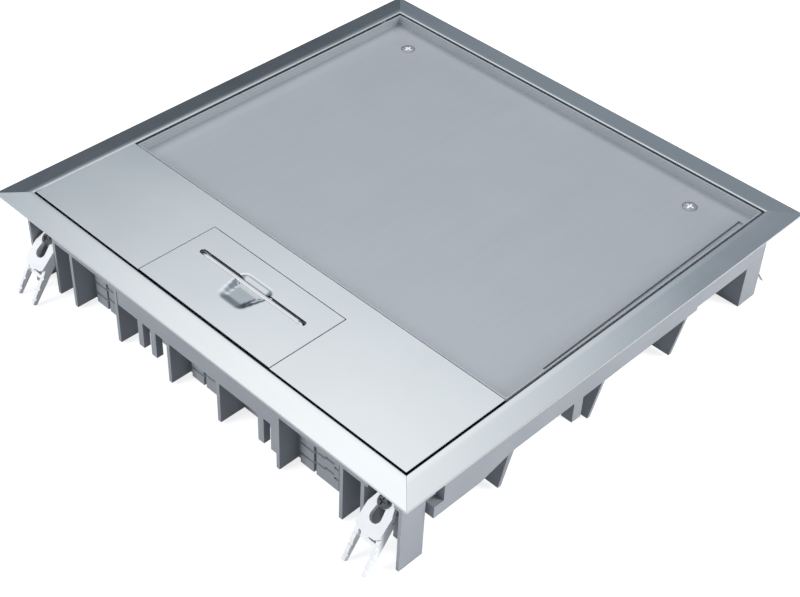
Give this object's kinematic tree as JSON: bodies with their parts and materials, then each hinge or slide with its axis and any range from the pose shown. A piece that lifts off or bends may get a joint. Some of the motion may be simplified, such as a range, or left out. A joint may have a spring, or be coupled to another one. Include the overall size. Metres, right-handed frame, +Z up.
{
  "type": "floor socket box",
  "caption": "Square floor box frame with a hinged, recessed steel lid, a cable outlet flap, a pull-up handle and slanted fixing claws.",
  "frame": {"origin": "centre of the overall box seen from above, at the level of the housing's feet", "axes": "+Z up out of the floor, +Y towards the lid's hinge, +X to the right seen from the cable flap's side"},
  "size_m": [0.264, 0.273, 0.0525],
  "materials": {
    "stainless": "brushed",
    "grey_moulding": "matte",
    "claw_white": "satin",
    "zinc_steel": "plated",
    "buffer_rubber": "matte",
    "polished_wire": "polished"
  },
  "bodies": {
    "frame": {"trim_front": "stainless", "trim_right": "stainless", "trim_back": "stainless", "trim_left": "stainless", "housing": "grey_moulding", "claw_screws": "zinc_steel", "trim_rivets": "zinc_steel", "lid_buffers": "buffer_rubber"},
    "lid": {"lid_carrier": "grey_moulding", "lid_tray": "stainless", "tray_screws": "zinc_steel", "tray_nuts": "zinc_steel", "lid_hinge_pins": "zinc_steel", "front_cover": "stainless"},
    "flap": {"outlet_flap": "stainless", "flap_block": "grey_moulding", "flap_hinge_pins": "zinc_steel"},
    "handle": {"lift_handle": "polished_wire"},
    "claw_fr": {"claw_front_right": "claw_white"},
    "claw_fl": {"claw_front_left": "claw_white"},
    "claw_rl": {"claw_rear_left": "claw_white"},
    "claw_rr": {"claw_rear_right": "claw_white"}
  },
  "joints": [
    {"name": "lid_hinge", "type": "hinge", "parent": "frame", "child": "lid", "pos_m": [0, 0.1092, 0.048], "axis": [-1, 0, 0], "range_deg": [0, 110]},
    {"name": "flap_hinge", "type": "hinge", "parent": "lid", "child": "flap", "pos_m": [-0.0019, -0.0874, 0.0495], "axis": [-1, 0, 0], "range_deg": [0, 90]},
    {"name": "handle_pull", "type": "slide", "parent": "flap", "child": "handle", "axis": [0, 0, 1], "range_m": [0, 0.008]},
    {"name": "claw_fr_slide", "type": "slide", "parent": "frame", "child": "claw_fr", "axis": [0, 0.7071, 0.7071], "range_m": [0, 0.005]},
    {"name": "claw_fl_slide", "type": "slide", "parent": "frame", "child": "claw_fl", "axis": [0, 0.7071, 0.7071], "range_m": [0, 0.005]},
    {"name": "claw_rl_slide", "type": "slide", "parent": "frame", "child": "claw_rl", "axis": [0, -0.7071, 0.7071], "range_m": [0, 0.005]},
    {"name": "claw_rr_slide", "type": "slide", "parent": "frame", "child": "claw_rr", "axis": [0, -0.7071, 0.7071], "range_m": [0, 0.005]}
  ]
}
